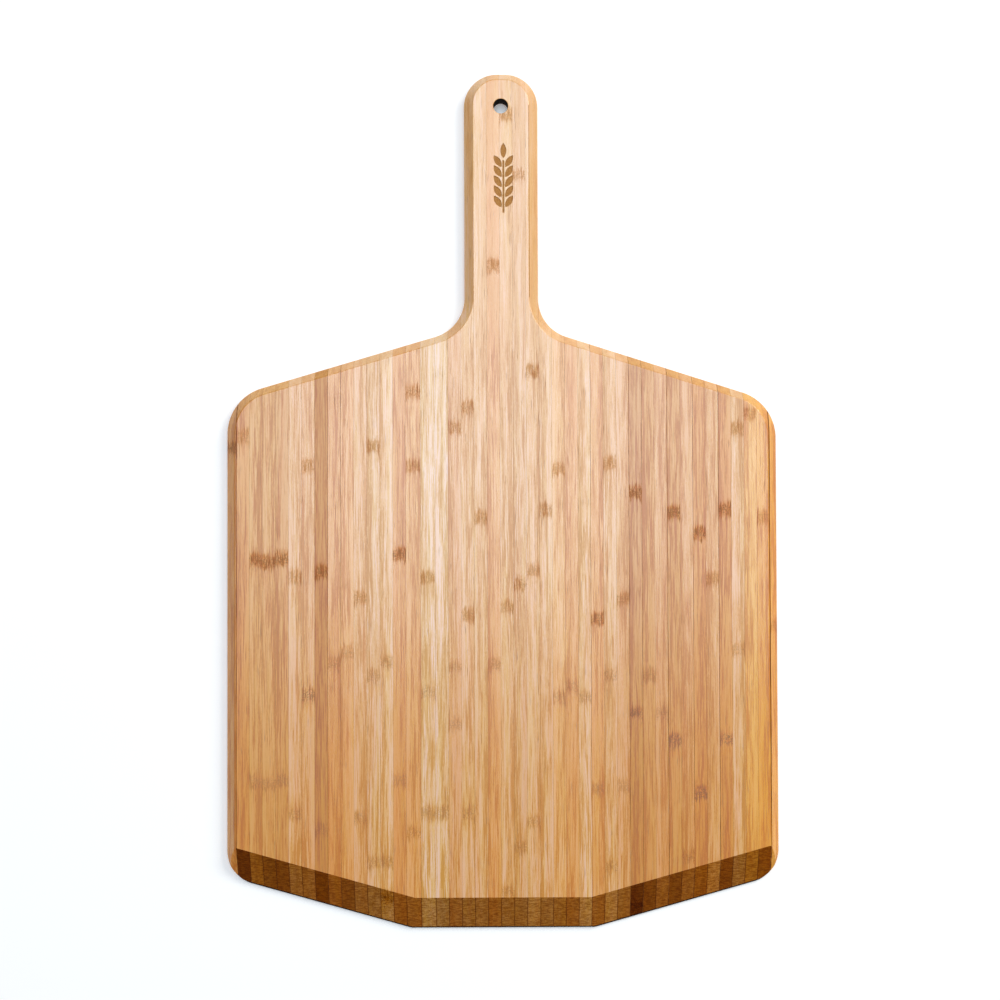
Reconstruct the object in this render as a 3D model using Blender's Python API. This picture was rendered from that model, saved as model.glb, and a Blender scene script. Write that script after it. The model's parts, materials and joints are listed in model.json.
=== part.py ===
"""Pizza peel in vertical-grain laminated bamboo.

The peel lies flat on its underside (z = 0), handle pointing to +Y, bevelled front edge to -Y, and
the centre of its bounding box over the origin. It is one ply of bamboo strips glued side by side on
edge. Every strip runs the whole length of the board, so the board is shaped first, as one solid, and
then ripped along its seams into separate slats.
"""
import math

import bmesh
import bpy
from mathutils import Matrix, Vector

# Driving dimensions of the board, metres.
OVERALL_LENGTH = 0.475
OVERALL_WIDTH = 0.305
THICKNESS = 0.010
HANDLE_WIDTH = 0.041
HANDLE_LENGTH = 0.142          # handle end to where the shoulder line would meet the handle side
HANDLE_END_RADIUS = 0.0183
NECK_RADIUS = 0.0225           # hollow corner between handle and shoulder
LEFT_SHOULDER_DROP = 0.0388     # fall of each shoulder from the handle out to the side: the board is
RIGHT_SHOULDER_DROP = 0.0422    # sawn by hand, and its right shoulder falls a little further
SHOULDER_RADIUS = 0.0265
FRONT_FLAT_WIDTH = 0.102       # straight middle of the front edge
FRONT_SETBACK = 0.0285         # how far the front edge falls back at each side
FRONT_CORNER_RADIUS = 0.0205
FRONT_BEND_RADIUS = 0.010      # softened bend between the front edge's middle and its slopes

# Edges, metres.
FRONT_BEVEL_WIDTH = 0.0185     # wide bevel that slides under the dough
FRONT_LIP = 0.0025             # thickness left at the front edge
TOP_BEVEL_DEPTH = 0.0046
TOP_BEVEL_ALONG_GRAIN = 0.0050
TOP_BEVEL_ACROSS_GRAIN = 0.0042
UNDERSIDE_ROUND = 0.0010
UNDERSIDE_ROUND_STEPS = 3
ARC_STEP = math.radians(7.5)   # one straight piece of a rounded corner

# Hanging hole, metres.
HOLE_DIAMETER = 0.0082
HOLE_FROM_END = 0.0190
HOLE_RIM = 0.0003              # eased edge of the hole on both faces
HOLE_SEGMENTS = 32

# Bamboo strips, metres.
SLAT_WIDTH = 0.0072
WIDE_SLAT_WIDTH = 0.0081       # left blade strips 14 and 15
RIGHT_SLAT_WIDTH = 0.00707
HANDLE_RIGHT_SEAM = 0.0207     # seam that just clears the right side of the handle
GLUE_GAP = 0.0003
LEFT_BLADE_SLATS = 17
HANDLE_SLATS = 5
RIGHT_BLADE_SLATS = 18
WIDE_SLATS = (14, 15)

FRONT_Y = -OVERALL_LENGTH / 2
END_Y = OVERALL_LENGTH / 2
HALF_WIDTH = OVERALL_WIDTH / 2
SHARP_ANGLE = math.radians(25)
CUT_TOLERANCE = 1e-7

# Bamboo shades, linear colour, and which strip has which, from left to right.
SHADES = {
    "bamboo_pale": (0.76, 0.52, 0.29),
    "bamboo_straw": (0.71, 0.45, 0.23),
    "bamboo_honey": (0.66, 0.38, 0.17),
    "bamboo_tan": (0.60, 0.32, 0.13),
    "bamboo_rust": (0.52, 0.24, 0.07),
    "bamboo_amber": (0.74, 0.38, 0.13),
}
SHADE_LETTERS = {name[len("bamboo_")]: name for name in SHADES}
LEFT_EDGE_SHADE = "h"
LEFT_BLADE_SHADES = "ttttshrhsssphspps"
LEFT_NECK_SHADE = "p"
HANDLE_SHADES = "pspsp"
RIGHT_BLADE_SHADES = "ppspspstthththtpaa"
RIGHT_EDGE_SHADE = "a"
SHADE_ROUGHNESS = 0.55


def clear_scene():
    for obj in list(bpy.data.objects):
        bpy.data.objects.remove(obj, do_unlink=True)


def bamboo_material(shade):
    material = bpy.data.materials.get(shade)
    if material is None:
        material = bpy.data.materials.new(shade)
        material.use_nodes = True
        surface = material.node_tree.nodes["Principled BSDF"]
        surface.inputs["Base Color"].default_value = (*SHADES[shade], 1.0)
        surface.inputs["Roughness"].default_value = SHADE_ROUGHNESS
        surface.inputs["Metallic"].default_value = 0.0
    return material


def outline_corners():
    """Corners of the plan, counter-clockwise from the front edge, each with its rounding radius."""
    sides = []
    for side, shoulder_drop in ((1, RIGHT_SHOULDER_DROP), (-1, LEFT_SHOULDER_DROP)):
        sides.append([
            (side * FRONT_FLAT_WIDTH / 2, FRONT_Y, FRONT_BEND_RADIUS),
            (side * HALF_WIDTH, FRONT_Y + FRONT_SETBACK, FRONT_CORNER_RADIUS),
            (side * HALF_WIDTH, END_Y - HANDLE_LENGTH - shoulder_drop, SHOULDER_RADIUS),
            (side * HANDLE_WIDTH / 2, END_Y - HANDLE_LENGTH, NECK_RADIUS),
            (side * HANDLE_WIDTH / 2, END_Y, HANDLE_END_RADIUS),
        ])
    right, left = sides
    return right + left[::-1]


def rounded_outline(corners):
    """Points of the rounded plan, each with its outward normal."""
    outline = []
    for index, (x, y, radius) in enumerate(corners):
        corner = Vector((x, y))
        following = corners[(index + 1) % len(corners)]
        before = (corner - Vector(corners[index - 1][:2])).normalized()
        after = (Vector(following[:2]) - corner).normalized()
        turn = math.atan2(before.x * after.y - before.y * after.x, before.dot(after))
        side = math.copysign(1.0, turn)
        outward = Vector((before.y, -before.x))
        start = corner - before * radius * math.tan(abs(turn) / 2)
        centre = start - outward * radius * side
        steps = max(2, round(abs(turn) / ARC_STEP))
        for step in range(steps + 1):
            normal = Matrix.Rotation(turn * step / steps, 2) @ outward
            outline.append((centre + normal * radius * side, normal))
    return outline


def edge_profile():
    """Section of the board's edge, bottom to top: insets along and across the grain, and height."""
    profile = []
    for step in range(UNDERSIDE_ROUND_STEPS + 1):
        angle = math.pi / 2 * step / UNDERSIDE_ROUND_STEPS
        inset = UNDERSIDE_ROUND * (1 - math.sin(angle))
        profile.append((inset, inset, UNDERSIDE_ROUND * (1 - math.cos(angle))))
    profile.append((0.0, 0.0, THICKNESS - TOP_BEVEL_DEPTH))
    profile.append((TOP_BEVEL_ALONG_GRAIN, TOP_BEVEL_ACROSS_GRAIN, THICKNESS))
    return profile


def outline_ring(board, outline, inset_along, inset_across, height):
    """One ring of vertices round the edge. Sides that run along the grain face along X."""
    ring = []
    for point, normal in outline:
        inset = inset_along * normal.x ** 2 + inset_across * normal.y ** 2
        place = point - normal * inset
        ring.append(board.verts.new((place.x, place.y, height)))
    return ring


def cut_away(board, point, normal):
    """Cut the solid with a plane, drop the side the normal points to, and close the cut."""
    geometry = board.verts[:] + board.edges[:] + board.faces[:]
    bmesh.ops.bisect_plane(board, geom=geometry, dist=CUT_TOLERANCE, plane_co=point,
                           plane_no=normal, clear_outer=True)
    open_edges = [edge for edge in board.edges if edge.is_boundary]
    if open_edges:
        bmesh.ops.holes_fill(board, edges=open_edges, sides=0)


def cut_front_bevel(board):
    """The wide front bevel: one plane for the middle and one for each slope of the front edge."""
    rise = math.atan2(THICKNESS - FRONT_LIP, FRONT_BEVEL_WIDTH)
    slope = math.atan2(FRONT_SETBACK, HALF_WIDTH - FRONT_FLAT_WIDTH / 2)
    for side in (-1, 0, 1):
        outward = Vector((math.sin(slope * side), -math.cos(slope * side), 0.0))
        point = Vector((side * FRONT_FLAT_WIDTH / 2, FRONT_Y, FRONT_LIP))
        cut_away(board, point, outward * math.sin(rise) + Vector((0.0, 0.0, math.cos(rise))))


def shaped_board():
    """The whole board as one closed solid, without its hanging hole."""
    board = bmesh.new()
    outline = rounded_outline(outline_corners())
    rings = [outline_ring(board, outline, *level) for level in edge_profile()]
    count = len(outline)
    for lower, upper in zip(rings, rings[1:]):
        for index in range(count):
            follow = (index + 1) % count
            board.faces.new((lower[index], lower[follow], upper[follow], upper[index]))
    board.faces.new(reversed(rings[0]))
    board.faces.new(rings[-1])
    cut_front_bevel(board)
    return board


def slat_plan():
    """Name, left seam, right seam and shade letter of every strip, from left to right."""
    left_widths = [WIDE_SLAT_WIDTH if number in WIDE_SLATS else SLAT_WIDTH
                   for number in range(1, LEFT_BLADE_SLATS + 1)]
    widths = left_widths + [SLAT_WIDTH] * (1 + HANDLE_SLATS) + [RIGHT_SLAT_WIDTH] * RIGHT_BLADE_SLATS
    names = [f"left_blade_slat_{number:02d}" for number in range(1, LEFT_BLADE_SLATS + 1)]
    names.append("left_neck_slat")
    names += [f"handle_slat_{number}" for number in range(1, HANDLE_SLATS + 1)]
    names += [f"right_blade_slat_{number:02d}" for number in range(1, RIGHT_BLADE_SLATS + 1)]
    shades = LEFT_BLADE_SHADES + LEFT_NECK_SHADE + HANDLE_SHADES + RIGHT_BLADE_SHADES

    seam = HANDLE_RIGHT_SEAM - sum(left_widths) - (1 + HANDLE_SLATS) * SLAT_WIDTH
    plan = [("left_edge_slat", -HALF_WIDTH, seam, LEFT_EDGE_SHADE)]
    for name, width, shade in zip(names, widths, shades):
        plan.append((name, seam, seam + width, shade))
        seam += width
    plan.append(("right_edge_slat", seam, HALF_WIDTH, RIGHT_EDGE_SHADE))
    return plan


def make_slat(board, name, left_seam, right_seam, shade, parent):
    """Rip one strip out of the board, half a glue gap inside each of its seams."""
    middle = (left_seam + right_seam) / 2
    strip = board.copy()
    if left_seam > -HALF_WIDTH:
        cut_away(strip, Vector((left_seam + GLUE_GAP / 2, 0.0, 0.0)), Vector((-1.0, 0.0, 0.0)))
    if right_seam < HALF_WIDTH:
        cut_away(strip, Vector((right_seam - GLUE_GAP / 2, 0.0, 0.0)), Vector((1.0, 0.0, 0.0)))
    bmesh.ops.translate(strip, verts=strip.verts[:], vec=Vector((-middle, 0.0, 0.0)))
    mesh = bpy.data.meshes.new(name)
    strip.to_mesh(mesh)
    strip.free()
    mesh.shade_smooth()
    mesh.set_sharp_from_angle(angle=SHARP_ANGLE)
    mesh.materials.append(bamboo_material(SHADE_LETTERS[shade]))
    slat = bpy.data.objects.new(name, mesh)
    bpy.context.scene.collection.objects.link(slat)
    slat.location = (middle, 0.0, 0.0)
    slat.parent = parent
    return slat


def make_hole_cutter(parent):
    """Drill for the hanging hole: a round bar that widens a little at both faces of the board."""
    radius = HOLE_DIAMETER / 2
    half = THICKNESS / 2
    profile = [
        (radius + 2 * HOLE_RIM, -half - HOLE_RIM),
        (radius, -half + HOLE_RIM),
        (radius, half - HOLE_RIM),
        (radius + 2 * HOLE_RIM, half + HOLE_RIM),
    ]
    drill = bmesh.new()
    rings = []
    for ring_radius, height in profile:
        turns = [2 * math.pi * index / HOLE_SEGMENTS for index in range(HOLE_SEGMENTS)]
        rings.append([drill.verts.new((ring_radius * math.cos(turn), ring_radius * math.sin(turn), height))
                      for turn in turns])
    for lower, upper in zip(rings, rings[1:]):
        for index in range(HOLE_SEGMENTS):
            follow = (index + 1) % HOLE_SEGMENTS
            drill.faces.new((lower[index], lower[follow], upper[follow], upper[index]))
    drill.faces.new(reversed(rings[0]))
    drill.faces.new(rings[-1])
    mesh = bpy.data.meshes.new("hanging_hole_cutter")
    drill.to_mesh(mesh)
    drill.free()
    cutter = bpy.data.objects.new("hanging_hole_cutter", mesh)
    bpy.context.scene.collection.objects.link(cutter)
    cutter.location = (0.0, END_Y - HOLE_FROM_END, THICKNESS / 2)
    cutter.parent = parent
    cutter.hide_render = True
    cutter.display_type = "WIRE"
    return cutter


def drill_hole(slat, cutter):
    cut = slat.modifiers.new("hanging_hole", "BOOLEAN")
    cut.operation = "DIFFERENCE"
    cut.solver = "EXACT"
    cut.object = cutter


def build():
    clear_scene()
    peel = bpy.data.objects.new("pizza_peel", None)
    bpy.context.scene.collection.objects.link(peel)
    board = shaped_board()
    slats = {name: make_slat(board, name, left, right, shade, peel)
             for name, left, right, shade in slat_plan()}
    board.free()
    cutter = make_hole_cutter(peel)
    for name in ("handle_slat_2", "handle_slat_3"):
        drill_hole(slats[name], cutter)


build()
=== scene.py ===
import json
import math

import bmesh
import bpy
from mathutils import Matrix, Vector


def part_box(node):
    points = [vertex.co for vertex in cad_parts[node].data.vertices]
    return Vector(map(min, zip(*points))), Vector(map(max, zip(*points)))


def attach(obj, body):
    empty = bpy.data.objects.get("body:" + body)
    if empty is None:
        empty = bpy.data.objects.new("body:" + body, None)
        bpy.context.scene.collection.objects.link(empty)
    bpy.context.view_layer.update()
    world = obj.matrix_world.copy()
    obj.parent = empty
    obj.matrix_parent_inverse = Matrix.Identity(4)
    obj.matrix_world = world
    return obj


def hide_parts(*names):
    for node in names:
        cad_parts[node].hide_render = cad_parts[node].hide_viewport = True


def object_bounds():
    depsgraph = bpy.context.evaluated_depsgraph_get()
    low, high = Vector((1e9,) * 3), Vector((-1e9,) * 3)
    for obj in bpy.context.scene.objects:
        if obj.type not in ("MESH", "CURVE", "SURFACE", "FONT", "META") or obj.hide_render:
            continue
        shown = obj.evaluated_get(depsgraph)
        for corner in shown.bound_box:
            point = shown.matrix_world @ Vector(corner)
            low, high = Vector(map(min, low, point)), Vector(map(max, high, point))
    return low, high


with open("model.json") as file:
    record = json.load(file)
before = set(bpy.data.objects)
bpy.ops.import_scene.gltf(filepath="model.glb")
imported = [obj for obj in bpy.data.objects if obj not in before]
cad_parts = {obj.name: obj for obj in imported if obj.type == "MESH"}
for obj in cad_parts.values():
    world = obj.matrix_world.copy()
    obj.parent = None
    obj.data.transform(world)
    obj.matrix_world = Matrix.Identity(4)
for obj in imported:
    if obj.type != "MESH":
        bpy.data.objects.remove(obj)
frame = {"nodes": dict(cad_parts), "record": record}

# The board is rebuilt here at full fineness on the CAD model's own sizes: it is shaped as one solid,
# ripped along its seams into strips, and each strip stands for the CAD node of the same place.
CAD_LOW, CAD_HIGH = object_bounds()

# Plan of the board, metres.
HALF_WIDTH = CAD_HIGH.x
FRONT_Y = CAD_LOW.y
END_Y = CAD_HIGH.y
THICKNESS = CAD_HIGH.z
HANDLE_WIDTH = 0.041
HANDLE_LENGTH = 0.142
HANDLE_END_RADIUS = 0.0183
NECK_RADIUS = 0.0225
LEFT_SHOULDER_DROP = 0.0388
RIGHT_SHOULDER_DROP = 0.0422
SHOULDER_RADIUS = 0.0265
FRONT_FLAT_WIDTH = 0.102
FRONT_SETBACK = 0.0285
FRONT_CORNER_RADIUS = 0.0205
FRONT_BEND_RADIUS = 0.010

# Section of the edges, metres.
FRONT_BEVEL_WIDTH = 0.0185
FRONT_LIP = 0.0025
TOP_BEVEL_DEPTH = 0.0046
TOP_BEVEL_ALONG_GRAIN = 0.0050
TOP_BEVEL_ACROSS_GRAIN = 0.0042
UNDERSIDE_ROUND = 0.0010
CREASE_ROUND = 0.0010          # easing of the creases where a bevel meets the top or the side
LIP_ROUND = 0.0022
EASING_STEPS = 3
ARC_STEP = math.radians(2.5)
SHARP_ANGLE = math.radians(30)     # edges with less of an angle between their faces are shaded round
CUT_TOLERANCE = 1e-7

# Glue lines between the strips, metres: their usual width, and the ones that gape, each by its place
# in the row of strips (1 is the seam beside the left edge strip).
FINE_SEAM = 0.00007
WIDE_SEAMS = {1: 0.00040, 8: 0.00020, 9: 0.00015, 28: 0.00018, 31: 0.00020, 32: 0.00018,
              34: 0.00026, 36: 0.00018, 38: 0.00026, 42: 0.00060}
GLUE_BELOW_SURFACE = 0.00002

# Hanging hole, metres, drilled where the record's opening is.
OPENING_LOW, OPENING_HIGH = frame["record"]["physics"]["openings"][0]["box_m"]
HOLE_CENTRE = (Vector(OPENING_LOW) + Vector(OPENING_HIGH)) / 2
HOLE_DIAMETER = 0.0082
HOLE_RIM_ROUND = 0.0003
HOLE_RIM_STEPS = 6
HOLE_SEGMENTS = 96

# Engraved ear of wheat on the handle, metres.
MARK_CENTRE = Vector((0.0014, 0.1785))
MARK_DEPTH = 0.00025
STEM_WIDTH = 0.0011
STEM_FOOT = -0.0196
STEM_TOP = 0.0098
KERNEL_LENGTH = 0.0078
KERNEL_WIDTH = 0.0034
KERNEL_ROUNDNESS = 0.8         # the power of the sine that the kernel's sides follow
KERNEL_PAIRS = 5
KERNEL_SPACING = 0.0056
KERNEL_TILT = math.radians(33)
KERNEL_GAP = 0.0010            # from the stem's middle to the foot of a kernel
TOP_KERNEL_LENGTH = 0.0086
CURVE_POINTS = 12

# Where the bamboo's own joints (knuckles) show on each strip, left to right, in mm from the middle
# of the board towards the handle: strongly marked ones, then faint ones. At most three on a strip.
KNUCKLES = [
    ((29,), ()),                      # left edge
    ((), (35,)),
    ((-33,), (-155,)),
    ((-34,), (-156,)),
    ((-32,), (-154,)),
    ((), (-42, -173)),
    ((-107,), (19,)),
    ((-40,), (-181,)),
    ((), (-90,)),
    ((), (-84,)),
    ((), (-54, -175)),
    ((), (30, -97, -199)),
    ((-219,), (-89, -199)),
    ((-30,), (-154,)),
    ((), (60, 19, -183)),
    ((), (-43, -106, -172)),
    ((), (-172,)),
    ((), (40, -92, -124)),
    ((), (51, -64, -173)),            # left neck
    ((), (-10,)),                     # handle
    ((), (-91, 130)),
    ((), (-59, -216, 214)),
    ((), (-47, -191, 180)),
    ((), (71, -39, -177)),
    ((), (-6,)),                      # right of the handle
    ((), (17, -109)),
    ((), (-103,)),
    ((), (-109,)),
    ((-66,), (-159,)),
    ((), (20, -97, -202)),
    ((), (-55, -158)),
    ((4, -118, -225), ()),
    ((), (-97,)),
    ((), (-118,)),
    ((-7, -133), ()),
    ((), (-197,)),
    ((-19, -162), ()),
    ((), (-44,)),
    ((-6, -132), ()),
    ((), (39, -83)),
    ((), (47,)),
    ((), (-10,)),
    ((), (-70,)),                     # right edge
]
KNUCKLES_ON_A_STRIP = 3
FAR_AWAY = 9999.0              # where a knuckle that a strip doesn't have lies, mm

# How each strip looks beside others of its shade, left to right: l lighter, d darker, - the same.
TONES = "d" + "-ll-ll---lll--ll-" + "-" + "-----" + "---l---d-----l-" + "-l-" + "-"
# The same for its hue: o more orange, c creamier.
HUES = "o" + "o------oo-c-oocc-" + "-" + "-o-c-" + "-oo-o-------o-o" + "--o" + "o"
# How deep the oil went into each strip's end grain: l little, m middling, d deep, v very deep.
SOAKS = "m" + "vmddmmdmdmmlmmlmm" + "m" + "mmmml" + "mmmlmlmvdmdmmld" + "mmd" + "m"
# Which side of each strip was nearer the culm's skin, and so is darker: L left, R right.
SKIN_SIDE = "R" + "LRRLRLLRLRLLRRLRL" + "R" + "RLRLR" + "LRLLRLRLLRLLRLLRLR" + "R"

# Each shade's body colour, linear. Pale pith, dark fibres and knuckles are this colour times a gain.
SHADES = {
    "bamboo_pale": (0.77, 0.376, 0.115),
    "bamboo_straw": (0.74, 0.328, 0.085),
    "bamboo_honey": (0.71, 0.293, 0.062),
    "bamboo_tan": (0.665, 0.260, 0.034),
    "bamboo_rust": (0.58, 0.200, 0.009),
    "bamboo_amber": (0.77, 0.318, 0.036),
}
PITH_GAIN = (1.09, 1.24, 2.25)
FIBRE_GAIN = (0.80, 0.61, 0.15)
TONE_GAINS = {"l": (1.04, 1.10, 1.24), "-": (1.0, 1.0, 1.0), "d": (0.93, 0.885, 0.74)}
HUE_GAINS = {"c": (1.0, 1.075, 1.22), "-": (1.0, 1.0, 1.0), "o": (1.02, 0.955, 0.72)}
PINK_DRIFT = (1.0, 0.95, 0.91)
YELLOW_DRIFT = (0.99, 1.0, 0.82)

# Sap dashes: their colour and how far they go towards it, the noise above which they show, how much
# lower that is near the skin, and how sharply they begin.
SAP_BROWN = (0.30, 0.105, 0.020)
SAP_SHARE = 0.5
SAP_EDGE = 0.70
SAP_EDGE_DROP = 0.07
SAP_SHARPNESS = 12.0

# Noise patterns: 1/size of their marks across the board, along it and down into it (per mm, and per
# metre on the floor), how many finer levels they have, and how rough those are.
PATTERNS = {
    "wander": ((0.12, 0.022, 0.12), 1.0, 0.5),
    "broad bands": ((0.45, 0.010, 0.3), 1.5, 0.5),
    "busy stretches": ((0.30, 0.012, 0.2), 1.0, 0.5),
    "streaks": ((1.0, 0.036, 0.7), 2.0, 0.6),
    "threads": ((2.1, 0.060, 1.2), 1.0, 0.5),
    "hairs": ((1.7, 0.042, 1.2), 2.5, 0.65),
    "fine grain": ((3.7, 0.50, 2.2), 2.0, 0.7),
    "colour drift": ((0.40, 0.014, 0.2), 1.5, 0.5),
    "sap dashes": ((2.4, 0.09, 1.4), 1.0, 0.5),
    "knuckle wobble": ((0.55, 0.10, 0.3), 2.0, 0.6),
    "knuckle streaks": ((1.5, 0.15, 1.1), 2.5, 0.65),
    "knuckle marks": ((1.2, 0.75, 1.1), 2.0, 0.6),
    "bundle dots": ((3.2, 2.0, 3.2), 2.0, 0.7),
    "saw ripples": ((0.35, 1.8, 0.35), 1.0, 0.5),
    "grit": ((2.6, 1.2, 2.6), 2.0, 0.65),
    "resin clouds": ((0.3, 0.045, 0.8), 3.0, 0.6),
    "floor clouds": ((3.0, 3.0, 3.0), 2.0, 0.5),
}
STRIP_SHIFT = 23.0             # how far each strip's patterns lie from its neighbour's, mm
WANDER_WIDTH = 1.8             # how wide a band each fibre strays in, mm

# How strongly each pattern pulls the wood from pale pith (0) to dark fibre (1), round GRAIN_START.
GRAIN_START = 0.28
BAND_PULL = 2.1
STREAK_PULL = 1.6
THREAD_PULL = (0.12, 0.55)     # in calm stretches and in busy ones
HAIR_PULL = 2.9
FINE_PULL = 1.1
SKIN_PULL = 0.46
SKIN_FROM_TO = (-1.1, 1.0)     # where the skin's darkening begins and is full; -1 and 1 are the seams
CALM_FROM_TO = (60.0, 110.0)   # the wood gets evener over this stretch, mm towards the handle
CALM_GRAIN = 0.50

# Knuckles. Each layer's band about a knuckle, mm towards the handle: where it begins, is full, starts
# to fade and is gone. The gains are on the wood's colour, and the brown is that of the finest marks.
KNUCKLE_TAIL = (-17.0, -2.5, 2.0, 11.0)
KNUCKLE_PATCH = (-5.2, -1.8, 2.4, 5.6)
KNUCKLE_CURVES = (-4.2, -1.6, 1.8, 4.0)
KNUCKLE_LINE = (-0.55, -0.15, 0.15, 0.55)
KNUCKLE_RUNS = (-7.0, -3.0, 3.0, 7.0)
KNUCKLE_WOBBLE = 5.0           # how long a stretch of the strip its line strays in, mm
KNUCKLE_BOW = 0.9              # how far its middle lies beyond its sides, towards the handle, mm
KNUCKLE_TAIL_GAIN = (0.97, 0.82, 0.22)
KNUCKLE_PATCH_GAIN = (0.90, 0.66, 0.03)
KNUCKLE_BROWN = (0.22, 0.072, 0.001)
FAINT_KNUCKLE = 0.52

# Roughness: of polished wood, what dark fibres, knuckles and sap dashes add to it, and what wood from
# near the culm's skin adds, as it takes less polish.
POLISHED = 0.235
FIBRE_ROUGHNESS = 0.08
KNUCKLE_ROUGHNESS = 0.42
SAP_ROUGHNESS = 0.15
SKIN_ROUGHNESS = {"bamboo_rust": 0.14, "bamboo_tan": 0.04}
RUBBED_FRONT = (-200.0, -40.0)     # knuckles are smooth in front of this stretch and open behind it, mm
PORE_DEPTH = 2.0               # how deep open pores lie beside the height of the fine grain
RELIEF_HEIGHT = 0.0001         # of the finest relief, metres

# End grain is the body colour times LEAST_SOAKED, raised to a power that grows with the oil it drank.
LEAST_SOAKED = (0.60, 0.50, 0.34)
SOAK_POWERS = {"l": 1.25, "m": 1.72, "d": 2.35, "v": 3.1}
SEAM_SOAK_GAIN = (0.48, 0.37, 0.26)
END_GROUND_GAIN = (1.30, 1.36, 1.38)
END_BUNDLE_GAIN = (0.76, 0.66, 0.46)
END_SEAM_EDGE = (0.90, 0.97)   # where the soaking beside a seam begins and is full; 1 is the seam
END_ROUGHNESS = (0.70, 0.85)
# The lip of the front edge gets a near-black painted shadow, standing in for the shade under the edge:
# its colour, and how far the lip goes towards it.
LIP_PAINTED_SHADOW = (0.020, 0.008, 0.004)
LIP_SHADOW_SHARE = 0.95

# Paler bevels: their colour, and how far a bevel goes towards it. Bevels across the fibres that face
# the lights get a painted highlight, the handle's right bevel gets a painted highlight from the light
# on the right, and other bevels along the fibres are a little rubbed.
PALE_RUB_AND_HIGHLIGHT_GAIN = (1.05, 1.50, 2.9)
PAINTED_HIGHLIGHT_ACROSS = 0.50
SANDED_ALONG = 0.06
PAINTED_HIGHLIGHT_RIGHT = 0.36

# Scorched wood of the engraving, the near-black painted shade of the hole, and glue: linear colours,
# and roughness from the smoothest spots to the roughest.
MARK_FLOOR_PALE = (0.50, 0.235, 0.070)
MARK_FLOOR_DARK = (0.40, 0.165, 0.045)
MARK_WALL_BROWN = (0.24, 0.085, 0.024)
# Near-black painted shade of the hole's wall.
PAINTED_HOLE_SHADE = (0.025, 0.012, 0.008)
SCORCH_ROUGHNESS = (0.75, 0.95)
GLUE_THICK = (0.11, 0.030, 0.006)
GLUE_THIN = (0.32, 0.105, 0.017)
GLUE_ROUGHNESS = (0.70, 0.85)

# How faces are told apart: by how far their normals rise or lean forward, and by how burnt they are,
# with the hole's wall marked for painted shade.
LIP_RISE = 0.9                 # the front edge counts as its lip where its normal rises less
BEVEL_RISE = (0.1, 0.99)
WALL_RISE = 0.5
LEAST_FORWARD = 0.05           # a face of the front edge leans forward by at least this
# The hole's wall level stands for its near-black painted shade.
MARK_FLOOR, MARK_WALL, HOLE_WALL = 0.0, 0.5, 1.0
END_GRAIN, BURNT_AND_SHADED = 1, 2     # material places on a strip; 0 is the wood along its fibres

# Studio. A softbox stands at an azimuth (0 beyond the handle, 90 to the right) and an elevation, in
# degrees, at a distance in metres, and has a brightness and a colour.
SOFTBOXES = {
    "low_softbox": (51.0, 38.0, 3.2, 0.60, (1.0, 0.95, 0.84)),
    "overhead_softbox": (0.0, 77.5, 2.4, 0.66, (0.69, 0.855, 0.955)),
}
SOFTBOX_SIZE = 1.6
SKY_COLOUR = (0.95, 0.95, 1.0, 1.0)
SKY_STRENGTH = 0.22
FLOOR_HALF_SIZE = 6.0
FLOOR_SQUARES = 8
FLOOR_WHITES = ((0.90, 0.90, 0.92), (0.92, 0.92, 0.93))
FLOOR_GLOW_COLOUR = (1.0, 0.86, 0.78, 1.0)
FLOOR_GLOW = 0.21

# Camera: nearly straight above, as high as the photograph's perspective shows.
CAMERA_HEIGHT = 0.80
CAMERA_LENS = 51.48
CAMERA_TILT = math.radians(1.10)
CAMERA_LEAN = math.radians(-0.17)
CAMERA_ROLL = math.radians(-0.195)
CAMERA_AIM = Vector((-0.00104, -0.0002, 0.0))


# ---------------------------------------------------------------------------- shaping the board

def round_corner(previous, corner, following, radius):
    """Points of one rounded corner of a flat path, each with the direction square to the path."""
    before = (corner - previous).normalized()
    after = (following - corner).normalized()
    turn = math.atan2(before.x * after.y - before.y * after.x, before.dot(after))
    side = math.copysign(1.0, turn)
    outward = Vector((before.y, -before.x))
    start = corner - before * radius * math.tan(abs(turn) / 2)
    centre = start - outward * radius * side
    steps = max(2, round(abs(turn) / ARC_STEP))
    rounded = []
    for step in range(steps + 1):
        normal = Matrix.Rotation(turn * step / steps, 2) @ outward
        rounded.append((centre + normal * radius * side, normal))
    return rounded


def board_outline():
    """The rounded plan, counter-clockwise from the front edge: points and outward normals."""
    sides = []
    for side, shoulder_drop in ((1, RIGHT_SHOULDER_DROP), (-1, LEFT_SHOULDER_DROP)):
        sides.append([
            (side * FRONT_FLAT_WIDTH / 2, FRONT_Y, FRONT_BEND_RADIUS),
            (side * HALF_WIDTH, FRONT_Y + FRONT_SETBACK, FRONT_CORNER_RADIUS),
            (side * HALF_WIDTH, END_Y - HANDLE_LENGTH - shoulder_drop, SHOULDER_RADIUS),
            (side * HANDLE_WIDTH / 2, END_Y - HANDLE_LENGTH, NECK_RADIUS),
            (side * HANDLE_WIDTH / 2, END_Y, HANDLE_END_RADIUS),
        ])
    right, left = sides
    corners = right + left[::-1]
    outline = []
    for index, (x, y, radius) in enumerate(corners):
        previous = Vector(corners[index - 1][:2])
        following = Vector(corners[(index + 1) % len(corners)][:2])
        outline += round_corner(previous, Vector((x, y)), following, radius)
    return outline


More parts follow.
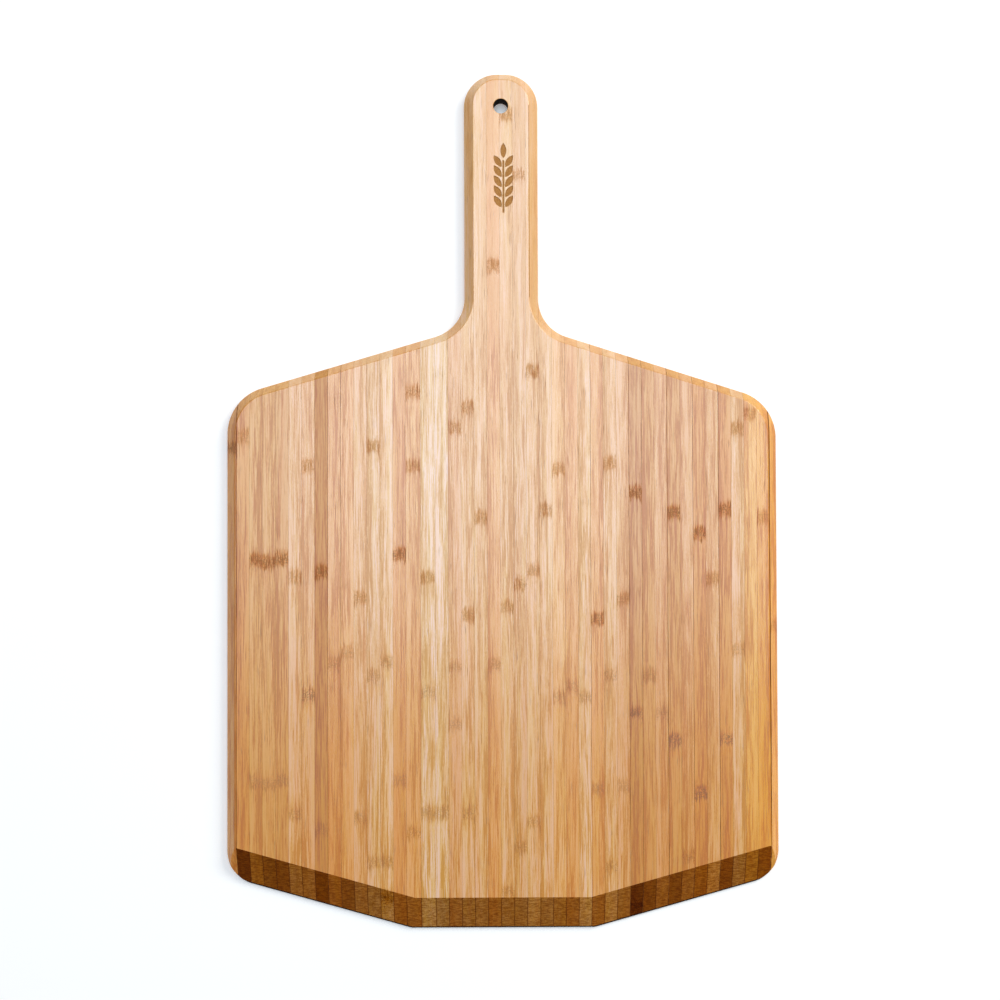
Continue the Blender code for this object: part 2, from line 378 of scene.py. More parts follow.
def edge_section():
    """Section of the board's edge, bottom to top: how far in from the outline, and height."""
    bevel = (TOP_BEVEL_ALONG_GRAIN + TOP_BEVEL_ACROSS_GRAIN) / 2
    corners = [
        (Vector((0.0, 0.0)), UNDERSIDE_ROUND),
        (Vector((0.0, THICKNESS - TOP_BEVEL_DEPTH)), CREASE_ROUND),
        (Vector((bevel, THICKNESS)), CREASE_ROUND),
    ]
    path = [Vector((bevel, 0.0))] + [corner for corner, radius in corners]
    path.append(Vector((2 * bevel, THICKNESS)))
    section = []
    for index, (corner, radius) in enumerate(corners, start=1):
        rounded = round_corner(path[index - 1], corner, path[index + 1], radius)
        section += [(point.x / bevel, point.y) for point, _ in rounded]
    return section


def cut_away(solid, point, normal):
    """Cut the solid with a plane, drop the side the normal points to, and close the cut."""
    geometry = solid.verts[:] + solid.edges[:] + solid.faces[:]
    bmesh.ops.bisect_plane(solid, geom=geometry, dist=CUT_TOLERANCE, plane_co=point,
                           plane_no=normal, clear_outer=True)
    open_edges = [edge for edge in solid.edges if edge.is_boundary]
    if open_edges:
        bmesh.ops.holes_fill(solid, edges=open_edges, sides=0)


def front_section():
    """Section of the front bevel as tangent lines: distance in from the outline, height, pitch."""
    rise = math.atan2(THICKNESS - FRONT_LIP, FRONT_BEVEL_WIDTH)
    crest = Vector((FRONT_BEVEL_WIDTH + CREASE_ROUND * math.tan(rise / 2), THICKNESS - CREASE_ROUND))
    lip_drop = LIP_ROUND * (1 - math.sin(rise)) / math.cos(rise)
    lip = Vector((LIP_ROUND, FRONT_LIP - lip_drop))
    tangents = []
    for step in range(1, EASING_STEPS + 1):
        tangents.append((crest, CREASE_ROUND, rise * step / (EASING_STEPS + 1)))
    for step in range(EASING_STEPS + 1):
        tangents.append((lip, LIP_ROUND, rise + (math.pi / 2 - rise) * step / (EASING_STEPS + 1)))
    section = []
    for centre, radius, pitch in tangents:
        touch = centre + radius * Vector((-math.sin(pitch), math.cos(pitch)))
        section.append((touch.x, touch.y, pitch))
    return section


def cut_front_bevel(board, outline, inset):
    """Plane off the front bevel, one tangent plane at a time round its two soft bends."""
    slope = math.atan2(FRONT_SETBACK, HALF_WIDTH - FRONT_FLAT_WIDTH / 2)
    front = [(point, normal) for point, normal in outline
             if math.atan2(abs(normal.x), -normal.y) < slope + CUT_TOLERANCE]
    for inward, height, pitch in front_section():
        for point, normal in front:
            touch = point - normal * (inward + inset)
            plane_normal = (*(normal * math.sin(pitch)), math.cos(pitch))
            cut_away(board, (*touch, height - inset), plane_normal)


def close_rings(solid, rings):
    """Join counter-clockwise rings of points, bottom to top, into one closed skin."""
    for lower, upper in zip(rings, rings[1:]):
        for index in range(len(lower)):
            follow = (index + 1) % len(lower)
            solid.faces.new((lower[index], lower[follow], upper[follow], upper[index]))
    solid.faces.new(reversed(rings[0]))
    solid.faces.new(rings[-1])


def shaped_board(inset=0.0):
    """The whole board as one closed solid, with its surface moved in by inset."""
    board = bmesh.new()
    outline = board_outline()
    rings = []
    for share, height in edge_section():
        ring = []
        for point, normal in outline:
            bevel = TOP_BEVEL_ALONG_GRAIN * normal.x ** 2 + TOP_BEVEL_ACROSS_GRAIN * normal.y ** 2
            place = point - normal * (share * bevel + inset)
            ring.append(board.verts.new((*place, min(max(height, inset), THICKNESS - inset))))
        rings.append(ring)
    close_rings(board, rings)
    cut_front_bevel(board, outline, inset)
    return board


def ripped(board, left, right):
    """The part of the board between two upright cuts; None leaves that side whole."""
    strip = board.copy()
    if left is not None:
        cut_away(strip, (left, 0.0, 0.0), (-1.0, 0.0, 0.0))
    if right is not None:
        cut_away(strip, (right, 0.0, 0.0), (1.0, 0.0, 0.0))
    return strip


def new_piece(name, solid):
    """Turn the solid into an object of the scene."""
    mesh = bpy.data.meshes.new(name)
    solid.to_mesh(mesh)
    solid.free()
    piece = bpy.data.objects.new(name, mesh)
    bpy.context.scene.collection.objects.link(piece)
    return piece


# ---------------------------------------------------------------------------- hole and engraving

def add_prism(solid, points, low, high):
    """A closed prism over a counter-clockwise flat outline."""
    bottom = [solid.verts.new((*point, low)) for point in points]
    top = [solid.verts.new((*point, high)) for point in points]
    close_rings(solid, [bottom, top])


def kernel_outline(foot, angle, length):
    """A pointed oval from its foot, leaning by angle from the +Y direction."""
    points = []
    for side in (1, -1):
        for step in range(CURVE_POINTS):
            along = step / CURVE_POINTS if side == 1 else 1 - step / CURVE_POINTS
            bulge = side * KERNEL_WIDTH / 2 * math.sin(math.pi * along) ** KERNEL_ROUNDNESS
            points.append(foot + Matrix.Rotation(-angle, 2) @ Vector((bulge, along * length)))
    return points


def wheat_cutter():
    """Cutter for a plain ear of wheat: a stem, kernels in pairs and one at the tip."""
    solid = bmesh.new()
    low, high = THICKNESS - MARK_DEPTH, THICKNESS + MARK_DEPTH
    half = STEM_WIDTH / 2
    stem = []
    for end, start in ((STEM_FOOT + half, math.pi), (STEM_TOP - half, 0.0)):
        for step in range(CURVE_POINTS + 1):
            turn = start + math.pi * step / CURVE_POINTS
            stem.append(MARK_CENTRE + Vector((half * math.cos(turn), end + half * math.sin(turn))))
    add_prism(solid, stem, low, high)
    for pair in range(KERNEL_PAIRS):
        height = STEM_TOP - KERNEL_LENGTH / 2 - KERNEL_SPACING * pair
        for side in (-1, 1):
            foot = MARK_CENTRE + Vector((side * KERNEL_GAP, height))
            outline = kernel_outline(foot, side * KERNEL_TILT, KERNEL_LENGTH)
            add_prism(solid, outline, low, high)
    tip = MARK_CENTRE + Vector((0.0, STEM_TOP + KERNEL_GAP))
    add_prism(solid, kernel_outline(tip, 0.0, TOP_KERNEL_LENGTH), low, high)
    return new_piece("wheat_cutter", solid)


def hole_cutter():
    """Drill for the hanging hole, flared at both faces so that its rims come out rounded."""
    x, y = HOLE_CENTRE.xy
    radius = HOLE_DIAMETER / 2
    profile = []
    for step in range(HOLE_RIM_STEPS + 1):
        turn = math.pi / 2 * step / HOLE_RIM_STEPS
        flare = HOLE_RIM_ROUND * (1 - math.sin(turn))
        profile.append((radius + flare, HOLE_RIM_ROUND * (1 - math.cos(turn))))
    profile.insert(0, (radius + HOLE_RIM_ROUND, -HOLE_RIM_ROUND))
    profile += [(wide, THICKNESS - height) for wide, height in reversed(profile)]
    solid = bmesh.new()
    rings = []
    for wide, height in profile:
        ring = []
        for index in range(HOLE_SEGMENTS):
            turn = 2 * math.pi * index / HOLE_SEGMENTS
            ring.append(solid.verts.new((x + wide * math.cos(turn), y + wide * math.sin(turn), height)))
        rings.append(ring)
    close_rings(solid, rings)
    return new_piece("hole_cutter", solid)


def with_reach(cutter):
    """A cutter with how far left and right it reaches."""
    places = [vertex.co.x for vertex in cutter.data.vertices]
    return cutter, min(places), max(places)


def cut_with(piece, cutter):
    """Take the cutter's shape out of the piece's mesh for good."""
    cut = piece.modifiers.new("cut", "BOOLEAN")
    cut.operation = "DIFFERENCE"
    cut.solver = "EXACT"
    cut.object = cutter
    evaluated = piece.evaluated_get(bpy.context.evaluated_depsgraph_get())
    mesh = bpy.data.meshes.new_from_object(evaluated)
    piece.modifiers.remove(cut)
    piece.data = mesh


# ---------------------------------------------------------------------------- materials

class Recipe:
    """Short calls for writing one material's node tree."""

    def __init__(self, name):
        self.material = bpy.data.materials.new(name)
        self.material.use_nodes = True
        self.tree = self.material.node_tree
        self.surface = self.tree.nodes["Principled BSDF"]

    def node(self, kind, **settings):
        made = self.tree.nodes.new(kind)
        for key, value in settings.items():
            setattr(made, key, value)
        return made

    def feed(self, socket, value):
        if isinstance(value, bpy.types.NodeSocket):
            self.tree.links.new(value, socket)
        elif socket.type == "RGBA":
            socket.default_value = (*value, 1.0)
        else:
            socket.default_value = value

    def fed_node(self, kind, values, **settings):
        """A node with the values fed to its sockets in their order."""
        made = self.node(kind, **settings)
        for socket, value in zip(made.inputs, values):
            self.feed(socket, value)
        return made

    def math(self, operation, *values, clamp=False):
        made = self.fed_node("ShaderNodeMath", values, operation=operation, use_clamp=clamp)
        return made.outputs[0]

    def vector(self, operation, *values):
        return self.fed_node("ShaderNodeVectorMath", values, operation=operation).outputs[0]

    def stack(self, x, y, z):
        return self.fed_node("ShaderNodeCombineXYZ", (x, y, z)).outputs[0]

    def split(self, vector):
        return self.fed_node("ShaderNodeSeparateXYZ", (vector,)).outputs

    def own(self, name, output="Fac"):
        """A number of the piece, or with "Vector" three numbers."""
        made = self.node("ShaderNodeAttribute", attribute_type="OBJECT", attribute_name=name)
        return made.outputs[output]

    def written(self, name):
        """A number written on the piece's points or faces."""
        made = self.node("ShaderNodeAttribute", attribute_type="GEOMETRY", attribute_name=name)
        return made.outputs["Fac"]

    def place_in_metres(self):
        return self.node("ShaderNodeTexCoord").outputs["Object"]

    def place_in_mm(self):
        return self.vector("MULTIPLY", self.place_in_metres(), (1000.0, 1000.0, 1000.0))

    def noise(self, place, pattern):
        """One of the noise patterns, from 0 to 1."""
        stretch, detail, roughness = PATTERNS[pattern]
        made = self.node("ShaderNodeTexNoise", noise_dimensions="3D")
        self.feed(made.inputs["Vector"], self.vector("MULTIPLY", place, stretch))
        self.feed(made.inputs["Scale"], 1.0)
        self.feed(made.inputs["Detail"], detail)
        self.feed(made.inputs["Roughness"], roughness)
        return made.outputs[0]

    def swing(self, value, size):
        """The value's distance from a half, times size."""
        return self.math("MULTIPLY", self.math("SUBTRACT", value, 0.5), size)

    def total(self, *values):
        result = values[0]
        for value in values[1:]:
            result = self.math("ADD", result, value)
        return result

    def ramp(self, value, low, high, to_low=0.0, to_high=1.0):
        """Smooth step of a value between two edges."""
        values = (value, low, high, to_low, to_high)
        return self.fed_node("ShaderNodeMapRange", values, interpolation_type="SMOOTHSTEP").outputs[0]

    def vector_ramp(self, value, low, high):
        """Smooth step of each component of a vector between two edges; falls if low is above high."""
        made = self.node("ShaderNodeMapRange", data_type="FLOAT_VECTOR",
                         interpolation_type="SMOOTHSTEP")
        start, end = (0.0, 1.0) if high > low else (1.0, 0.0)
        edges = {"From Min": min(low, high), "From Max": max(low, high), "To Min": start, "To Max": end}
        self.feed(made.inputs["Vector"], value)
        for socket in made.inputs:
            if socket.type == "VECTOR" and socket.name in edges:
                self.feed(socket, [edges[socket.name]] * 3)
        return made.outputs["Vector"]

    def mix(self, factor, low, high, blend="MIX"):
        """Blend two colours; the node's other sockets are for numbers and vectors."""
        made = self.node("ShaderNodeMix", data_type="RGBA", blend_type=blend)
        self.feed(made.inputs[0], factor)
        self.feed(made.inputs[6], low)
        self.feed(made.inputs[7], high)
        return made.outputs[2]

    def multiply(self, colour, gain, share=1.0):
        """The colour times a gain, or only a share of the way there."""
        return self.mix(share, colour, gain, "MULTIPLY")


def tinted(colour, gain):
    """A linear colour times a gain, kept within white."""
    return tuple(min(1.0, part * share) for part, share in zip(colour, gain))


class StripSpace:
    """Where a point lies in its own strip: what all of a bamboo material's layers start from."""

    def __init__(self, recipe):
        self.across = recipe.written("across")
        x, y, z = recipe.split(recipe.place_in_mm())
        self.along = y
        shift = recipe.math("MULTIPLY", recipe.own("seed"), STRIP_SHIFT)
        straight = recipe.stack(*(recipe.math("ADD", part, shift) for part in (x, y, z)))
        wander = recipe.swing(recipe.noise(straight, "wander"), WANDER_WIDTH)
        self.place = recipe.vector("ADD", straight, recipe.stack(wander, 0.0, 0.0))
        towards_skin = recipe.math("MULTIPLY", self.across, recipe.own("skin_side"))
        self.skin = recipe.ramp(towards_skin, *SKIN_FROM_TO)


def fibre_grain(recipe, strip):
    """How dark the fibres are, from 0 for pale pith to 1, and the finest grain by itself."""
    broad = recipe.noise(strip.place, "broad bands")
    busy = recipe.noise(strip.place, "busy stretches")
    streak = recipe.noise(strip.place, "streaks")
    thread = recipe.noise(strip.place, "threads")
    hair = recipe.noise(strip.place, "hairs")
    fine = recipe.noise(strip.place, "fine grain")
    dark_threads = recipe.ramp(thread, 0.54, 0.66)
    pale_threads = recipe.ramp(thread, 0.34, 0.46, 1.0, 0.0)
    lines = recipe.math("SUBTRACT", dark_threads, pale_threads)
    lines = recipe.math("MULTIPLY", lines, recipe.ramp(busy, 0.35, 0.65, *THREAD_PULL))
    dark = recipe.total(recipe.swing(broad, BAND_PULL), recipe.swing(streak, STREAK_PULL), lines,
                        recipe.swing(hair, HAIR_PULL), recipe.swing(fine, FINE_PULL),
                        recipe.math("MULTIPLY", strip.skin, SKIN_PULL))
    calm = recipe.ramp(strip.along, *CALM_FROM_TO, 1.0, CALM_GRAIN)
    return recipe.math("ADD", recipe.math("MULTIPLY", dark, calm), GRAIN_START, clamp=True), fine


def wood_colour(recipe, strip, body, dark):
    """Pale pith, body and dark fibre, with a slow drift to yellow or pink along the strip."""
    pale = recipe.mix(recipe.ramp(dark, 0.0, 0.5), tinted(body, PITH_GAIN), body)
    colour = recipe.mix(recipe.ramp(dark, 0.5, 1.0), pale, tinted(body, FIBRE_GAIN))
    drift = recipe.noise(strip.place, "colour drift")
    pink = recipe.ramp(drift, 0.50, 0.68)
    yellow = recipe.ramp(drift, 0.32, 0.50, 1.0, 0.0)
    colour = recipe.multiply(colour, PINK_DRIFT, pink)
    colour = recipe.multiply(colour, YELLOW_DRIFT, yellow)
    return recipe.multiply(colour, recipe.own("own_tint", "Vector"))


def vascular_dashes(recipe, strip):
    """Short dark lines along the grain, denser near the skin."""
    dash = recipe.noise(strip.place, "sap dashes")
    edge = recipe.math("SUBTRACT", SAP_EDGE, recipe.math("MULTIPLY", strip.skin, SAP_EDGE_DROP))
    return recipe.math("MULTIPLY", recipe.math("SUBTRACT", dash, edge), SAP_SHARPNESS, clamp=True)


class Knuckles:
    """The bamboo's joints on a strip: how much a point belongs to one, layer by layer."""

    def __init__(self, recipe, strip):
        self.recipe = recipe
        self.strengths = recipe.own("knuckle_strengths", "Vector")
        wobble = recipe.swing(recipe.noise(strip.place, "knuckle wobble"), KNUCKLE_WOBBLE)
        bow = recipe.math("MULTIPLY", recipe.math("POWER", strip.across, 2.0), KNUCKLE_BOW)
        along = recipe.total(strip.along, wobble, bow)
        here = recipe.stack(along, along, along)
        self.apart = recipe.vector("SUBTRACT", here, recipe.own("knuckle_places", "Vector"))

    def near(self, rise_from, rise_to, fall_from, fall_to):
        """A knuckle's strength inside a band about it, fading out on both sides; 0 elsewhere."""
        recipe = self.recipe
        rising = recipe.vector_ramp(self.apart, rise_from, rise_to)
        falling = recipe.vector_ramp(self.apart, fall_to, fall_from)
        band = recipe.vector("MULTIPLY", recipe.vector("MULTIPLY", rising, falling), self.strengths)
        first, second, third = recipe.split(band)
        return recipe.math("MAXIMUM", recipe.math("MAXIMUM", first, second), third)


def knuckle_colour(recipe, strip, colour):
    """Brown the wood at its knuckles: a streaky patch with a tail on both sides, short curved marks
    and a broken line. Returns the colour, and how far each point is knuckle."""
    knuckles = Knuckles(recipe, strip)
    streaks = recipe.noise(strip.place, "knuckle streaks")
    marks = recipe.noise(strip.place, "knuckle marks")
    tail = recipe.math("MULTIPLY", knuckles.near(*KNUCKLE_TAIL), recipe.ramp(streaks, 0.43, 0.60))
    colour = recipe.multiply(colour, KNUCKLE_TAIL_GAIN, recipe.math("MULTIPLY", tail, 0.8))
    patch = recipe.ramp(streaks, 0.36, 0.58, 0.20, 1.0)
    patch = recipe.math("MULTIPLY", knuckles.near(*KNUCKLE_PATCH), patch)
    colour = recipe.multiply(colour, KNUCKLE_PATCH_GAIN, patch)
    from_curve = recipe.math("ABSOLUTE", recipe.math("SUBTRACT", marks, 0.5))
    curves = recipe.ramp(from_curve, 0.015, 0.055, 1.0, 0.0)
    curves = recipe.math("MULTIPLY", knuckles.near(*KNUCKLE_CURVES), curves)
    line = recipe.math("MULTIPLY", knuckles.near(*KNUCKLE_LINE), recipe.ramp(streaks, 0.42, 0.54))
    runs = recipe.math("MULTIPLY", knuckles.near(*KNUCKLE_RUNS), recipe.ramp(streaks, 0.52, 0.62))
    dark = recipe.math("MAXIMUM", curves, recipe.math("MULTIPLY", line, 0.6))
    dark = recipe.math("MAXIMUM", dark, recipe.math("MULTIPLY", runs, 0.8))
    colour = recipe.mix(recipe.math("MULTIPLY", dark, 0.9), colour, KNUCKLE_BROWN)
    return colour, recipe.math("ADD", recipe.math("MULTIPLY", patch, 0.7), dark, clamp=True)


def finish_surface(recipe, colour, rough, relief, shine, depth):
    """Feed the surface: its colour, roughness, a fixed shine and a fine relief of a fixed depth."""
    recipe.feed(recipe.surface.inputs["Base Color"], colour)
    recipe.feed(recipe.surface.inputs["Roughness"], rough)
    recipe.surface.inputs["Specular IOR Level"].default_value = shine
    bump = recipe.node("ShaderNodeBump")
    bump.inputs["Strength"].default_value = depth
    bump.inputs["Distance"].default_value = RELIEF_HEIGHT
    recipe.feed(bump.inputs["Height"], relief)
    recipe.feed(recipe.surface.inputs["Normal"], bump.outputs[0])


def bamboo(shade):
    """Bamboo strip seen along its fibres: grain, vascular dashes and knuckles."""
    recipe = Recipe(shade)
    strip = StripSpace(recipe)
    dark, fine = fibre_grain(recipe, strip)
    colour = wood_colour(recipe, strip, SHADES[shade], dark)
    dash = vascular_dashes(recipe, strip)
    colour = recipe.mix(recipe.math("MULTIPLY", dash, SAP_SHARE), colour, SAP_BROWN)
    colour, knuckle = knuckle_colour(recipe, strip, colour)
    # Paler bevels: mostly painted highlight on the bevels that face the lights, a little rubbing along
    # the fibres.
    colour = recipe.mix(recipe.written("rubbed_and_highlight"), colour, tinted(SHADES[shade], PALE_RUB_AND_HIGHLIGHT_GAIN))
    open_knuckle = recipe.math("MULTIPLY", knuckle, recipe.ramp(strip.along, *RUBBED_FRONT))
    open_pores = recipe.math("ADD", recipe.math("MULTIPLY", open_knuckle, KNUCKLE_ROUGHNESS),
                             recipe.math("MULTIPLY", dash, SAP_ROUGHNESS))
    polish = POLISHED + SKIN_ROUGHNESS.get(shade, 0.0)
    rough = recipe.ramp(dark, 0.0, 1.0, polish, polish + FIBRE_ROUGHNESS)
    rough = recipe.math("ADD", rough, open_pores)
    relief = recipe.math("SUBTRACT", fine, recipe.math("MULTIPLY", open_pores, PORE_DEPTH))
    finish_surface(recipe, colour, rough, relief, shine=1.0, depth=0.25)
    return recipe.material


def end_grain(shade):
    """The strip's fibres cut across: soaked dark with oil, bundles as dots and faint saw ripples, and a
    near-black painted shadow along the lip.
    """
    recipe = Recipe(f"{shade}_end")
    strip = StripSpace(recipe)
    dark = recipe.ramp(fibre_grain(recipe, strip)[0], 0.0, 1.0, 0.30, 0.70)
    colour = wood_colour(recipe, strip, SHADES[shade], dark)
    colour = knuckle_colour(recipe, strip, colour)[0]
    dots = recipe.noise(strip.place, "bundle dots")
    ripple = recipe.swing(recipe.noise(strip.place, "saw ripples"), 1.1)
    bundles = recipe.ramp(recipe.math("ADD", dots, ripple), 0.36, 0.64)
    soaked = recipe.mix(bundles, END_GROUND_GAIN, END_BUNDLE_GAIN)
    soaked = recipe.multiply(soaked, recipe.own("soak", "Vector"))
    beside_seam = recipe.ramp(recipe.math("ABSOLUTE", strip.across), *END_SEAM_EDGE)
    soaked = recipe.multiply(soaked, SEAM_SOAK_GAIN, beside_seam)
    colour = recipe.multiply(colour, soaked)
    # A near-black painted shadow along the lip.
    colour = recipe.mix(recipe.written("lip"), colour, LIP_PAINTED_SHADOW)
    rough = recipe.ramp(dots, 0.3, 0.7, *END_ROUGHNESS)
    finish_surface(recipe, colour, rough, dots, shine=0.05, depth=0.35)
    return recipe.material


def burnt_and_shaded_bamboo():
    """Burnt wood, brown on the engraving's floor and darker on its walls, and near black in the hole as
    painted shade.
    """
    recipe = Recipe("burnt_and_shaded_bamboo")
    grit = recipe.noise(recipe.place_in_mm(), "grit")
    burn_and_shade = recipe.written("burn_and_shade")
    colour = recipe.mix(recipe.ramp(grit, 0.35, 0.65), MARK_FLOOR_PALE, MARK_FLOOR_DARK)
    colour = recipe.mix(recipe.ramp(burn_and_shade, MARK_FLOOR, MARK_WALL), colour, MARK_WALL_BROWN)
    # Near black in the hole: painted shade.
    colour = recipe.mix(recipe.ramp(burn_and_shade, MARK_WALL, HOLE_WALL), colour, PAINTED_HOLE_SHADE)
    rough = recipe.ramp(grit, 0.3, 0.7, *SCORCH_ROUGHNESS)
    finish_surface(recipe, colour, rough, grit, shine=0.15, depth=0.3)
    return recipe.material


def glue():
    """Hardened glue between the strips: dark amber resin, thin enough in places to look like wood."""
    recipe = Recipe("bamboo_glue")
    clouds = recipe.noise(recipe.place_in_mm(), "resin clouds")
    colour = recipe.mix(recipe.ramp(clouds, 0.40, 0.60), GLUE_THICK, GLUE_THIN)
    rough = recipe.ramp(clouds, 0.3, 0.7, *GLUE_ROUGHNESS)
    finish_surface(recipe, colour, rough, clouds, shine=0.1, depth=0.2)
    return recipe.material


def floor_material():
    """White studio floor that glows a little."""
    recipe = Recipe("studio_floor")
    clouds = recipe.noise(recipe.place_in_metres(), "floor clouds")
    recipe.feed(recipe.surface.inputs["Base Color"], recipe.mix(clouds, *FLOOR_WHITES))
    recipe.surface.inputs["Roughness"].default_value = 0.9
    recipe.surface.inputs["Specular IOR Level"].default_value = 0.0
    recipe.surface.inputs["Emission Color"].default_value = FLOOR_GLOW_COLOUR
    recipe.surface.inputs["Emission Strength"].default_value = FLOOR_GLOW
    return recipe.material


# ---------------------------------------------------------------------------- finishing pieces

def is_front_bevel(centre, normal):
    """Whether a face belongs to the bevel or the lip of the front edge."""
    return centre.y < FRONT_Y + FRONT_SETBACK + FRONT_BEVEL_WIDTH and normal.y < -LEAST_FORWARD


def burn_and_shade_of(centre, normal):
    """How burnt a face is on the engraving's walls or its floor, or that it is the hole's wall, which
    gets painted shade; None elsewhere.
    """
    from_hole = (centre - HOLE_CENTRE).xy.length
    if from_hole < HOLE_DIAMETER / 2 + HOLE_RIM_ROUND / 2 and abs(normal.z) < WALL_RISE:
        return HOLE_WALL
    in_mark = (centre.xy - MARK_CENTRE).length < -STEM_FOOT + KERNEL_GAP
    if in_mark and THICKNESS - 2 * MARK_DEPTH < centre.z < THICKNESS - MARK_DEPTH / 4:
        return MARK_FLOOR if normal.z > WALL_RISE else MARK_WALL
    return None


def write_attribute(mesh, name, domain, values):
    """Write one number on each of the mesh's points or faces."""
    mesh.attributes.new(name, "FLOAT", domain)
    mesh.attributes[name].data.foreach_set("value", values)


def rubbed_and_highlight_share(centre, normal):
    """How much paler a bevel is made: most where it cuts the fibres off and faces the lights, a painted
    highlight; less on the handle's right bevel, a painted highlight from the light on the right; and a
    little from rubbing elsewhere along the fibres."""
    if not BEVEL_RISE[0] < normal.z < BEVEL_RISE[1] or normal.y < -LEAST_FORWARD:
        return 0.0
    # The handle's right bevel faces the light on the right: painted highlight.
    facing_right_light = centre.y > END_Y - HANDLE_LENGTH and normal.x > 0.0
    along = PAINTED_HIGHLIGHT_RIGHT if facing_right_light else SANDED_ALONG
    return max(PAINTED_HIGHLIGHT_ACROSS * normal.y, along * abs(normal.x))


def mark_surface(piece, left, right, at_edge):
    """Give each face its material, and write what the materials need to know about it."""
    mesh = piece.data
    middle = (left + right) / 2
    half = (right - left) / 2
    rubbed_and_highlight, lip, burn_and_shade = [], [], []
    for face in mesh.polygons:
        centre, normal = face.center, face.normal
        front = is_front_bevel(centre, normal)
        rubbed_and_highlight.append(rubbed_and_highlight_share(centre, normal))
        # The lip's faces are marked for its painted shadow.
        lip.append(LIP_SHADOW_SHARE if front and normal.z < LIP_RISE else 0.0)
        # The hole's wall is marked for painted shade, the engraving's faces for their burn.
        burn_and_shade_level = burn_and_shade_of(centre, normal)
        burn_and_shade.append(burn_and_shade_level or MARK_FLOOR)
        if front and not at_edge:
            face.material_index = END_GRAIN
        if burn_and_shade_level is not None:
            face.material_index = BURNT_AND_SHADED
    across = [(vertex.co.x - middle) / half for vertex in mesh.vertices]
    write_attribute(mesh, "across", "POINT", across)
    write_attribute(mesh, "rubbed_and_highlight", "FACE", rubbed_and_highlight)
    write_attribute(mesh, "lip", "FACE", lip)
    write_attribute(mesh, "burn_and_shade", "FACE", burn_and_shade)


def finish_shading(piece):
    """Smooth round edges, with the flat faces kept flat."""
    piece.data.shade_smooth()
    piece.data.set_sharp_from_angle(angle=SHARP_ANGLE)
    weighted = piece.modifiers.new("weighted_normals", "WEIGHTED_NORMAL")
    weighted.keep_sharp = True


def knuckle_vectors(strong, faint):
    """A strip's knuckle places and how strongly each is marked, with spare ones unmarked far away."""
    spare = KNUCKLES_ON_A_STRIP - len(strong) - len(faint)
    places = [float(place) for place in strong + faint] + [FAR_AWAY] * spare
    strengths = [1.0] * len(strong) + [FAINT_KNUCKLE] * len(faint) + [0.0] * spare
    return places, strengths


def own_tint(tone, hue):
    """Gain on a strip's colour for its own tone and hue."""
    return [light * warm for light, warm in zip(TONE_GAINS[tone], HUE_GAINS[hue])]


def glue_width(index):
    """Width of the glue line at the left of a strip."""
    return WIDE_SEAMS.get(index, FINE_SEAM)


def build_strips(board, strips, cutters):
    """Rip the board into its strips, cut the hole and the mark, and finish each as its own piece."""
    slot_of = {part["node"]: part["material_slot"] for part in frame["record"]["subparts"]}
    finishes = {shade: (bamboo(shade), end_grain(shade)) for shade in SHADES}
    burnt_and_shaded = burnt_and_shaded_bamboo()
    last = len(strips) - 1
    for index, (name, left, right) in enumerate(strips):
        solid = ripped(board, None if index == 0 else left + glue_width(index) / 2,
                       None if index == last else right - glue_width(index + 1) / 2)
        piece = new_piece(f"{name}_bamboo", solid)
        for cutter, low, high in cutters:
            if low < right and high > left:
                cut_with(piece, cutter)
        piece.data.materials.clear()
        for material in (*finishes[slot_of[name]], burnt_and_shaded):
            piece.data.materials.append(material)
        mark_surface(piece, left, right, index in (0, last))
        places, strengths = knuckle_vectors(*KNUCKLES[index])
        piece["seed"] = float(index)
        piece["skin_side"] = 1.0 if SKIN_SIDE[index] == "R" else -1.0
        piece["own_tint"] = own_tint(TONES[index], HUES[index])
        piece["soak"] = [share ** SOAK_POWERS[SOAKS[index]] for share in LEAST_SOAKED]
        piece["knuckle_places"] = places
        piece["knuckle_strengths"] = strengths
        finish_shading(piece)
        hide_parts(name)
        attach(piece, "root")


def build_glue_lines(strips, cutters):
    """Thin sheets of glue in every seam, just below the surface, as one piece."""
    board = shaped_board(GLUE_BELOW_SURFACE)
    sheets = bmesh.new()
    for index, (_, seam, _) in enumerate(strips[1:], start=1):
        half = glue_width(index) / 2
        sheet = ripped(board, seam - half, seam + half)
        mesh = bpy.data.meshes.new("sheet")
        sheet.to_mesh(mesh)
        sheet.free()
        sheets.from_mesh(mesh)
        bpy.data.meshes.remove(mesh)
    board.free()
    piece = new_piece("glue_lines", sheets)
    for cutter, _, _ in cutters:
        cut_with(piece, cutter)
    piece.data.materials.clear()
    piece.data.materials.append(glue())
    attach(piece, "root")


def strips_in_order():
    """Every strip's node name with its left and right seam, from left to right."""
    names = sorted(frame["nodes"], key=lambda name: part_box(name)[0].x)
    boxes = [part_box(name) for name in names]
    lines = [(before[1].x + after[0].x) / 2 for before, after in zip(boxes, boxes[1:])]
    lines = [CAD_LOW.x] + lines + [CAD_HIGH.x]
    return list(zip(names, lines, lines[1:]))


# ---------------------------------------------------------------------------- studio

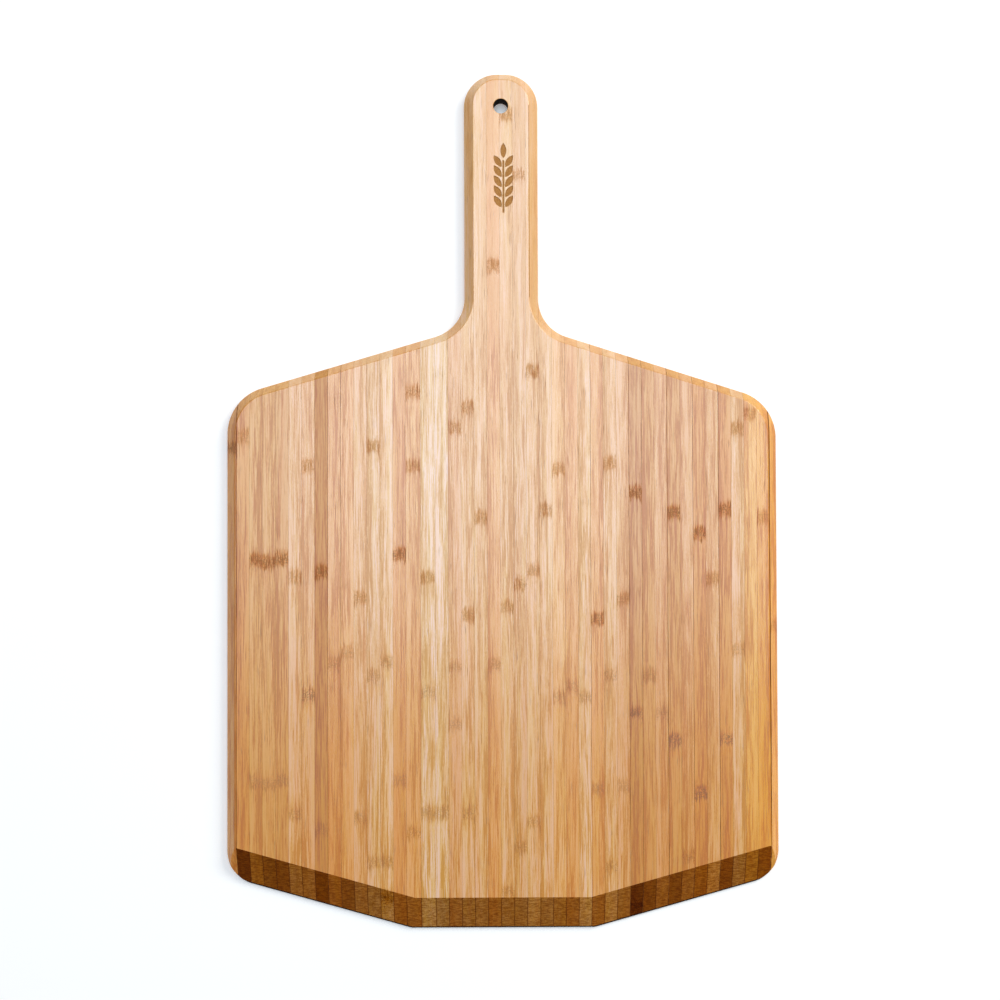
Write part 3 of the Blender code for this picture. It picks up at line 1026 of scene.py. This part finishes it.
def softbox(name, azimuth, elevation, distance, brightness, colour):
    """A square soft light. Its brightness is what it alone gives a white surface that faces it."""
    lamp = bpy.data.lights.new(name, "AREA")
    lamp.shape = "SQUARE"
    lamp.size = SOFTBOX_SIZE
    lamp.color = colour
    lamp.energy = brightness * math.pi ** 2 * distance ** 2
    light = bpy.data.objects.new(name, lamp)
    turn, rise = math.radians(azimuth), math.radians(elevation)
    flat = math.cos(rise)
    towards = Vector((flat * math.sin(turn), flat * math.cos(turn), math.sin(rise)))
    light.location = towards * distance
    light.rotation_euler = towards.to_track_quat("Z", "Y").to_euler()
    light.visible_camera = False
    bpy.context.scene.collection.objects.link(light)


def build_studio():
    """The floor, the lights and the sky."""
    ground = bmesh.new()
    bmesh.ops.create_grid(ground, x_segments=FLOOR_SQUARES, y_segments=FLOOR_SQUARES,
                          size=FLOOR_HALF_SIZE)
    floor = new_piece("studio_floor", ground)
    floor.data.materials.append(floor_material())

    for name, settings in SOFTBOXES.items():
        softbox(name, *settings)

    world = bpy.data.worlds.new("studio")
    world.use_nodes = True
    background = world.node_tree.nodes["Background"]
    background.inputs["Color"].default_value = SKY_COLOUR
    background.inputs["Strength"].default_value = SKY_STRENGTH
    bpy.context.scene.world = world
    bpy.context.scene.view_settings.view_transform = "Standard"


def build_camera():
    """The camera of the photograph."""
    lens = bpy.data.cameras.new("camera")
    lens.lens = CAMERA_LENS
    camera = bpy.data.objects.new("camera", lens)
    camera.rotation_euler = (CAMERA_TILT, CAMERA_LEAN, CAMERA_ROLL)
    camera.location = CAMERA_AIM + camera.rotation_euler.to_matrix() @ Vector((0.0, 0.0, CAMERA_HEIGHT))
    bpy.context.scene.collection.objects.link(camera)
    bpy.context.scene.camera = camera


# ---------------------------------------------------------------------------- the whole scene

drill = hole_cutter()
engraver = wheat_cutter()
cutters = [with_reach(drill), with_reach(engraver)]
strips = strips_in_order()
board = shaped_board()
build_strips(board, strips, cutters)
board.free()
build_glue_lines(strips, cutters)
bpy.data.objects.remove(drill)
bpy.data.objects.remove(engraver)
build_studio()
build_camera()
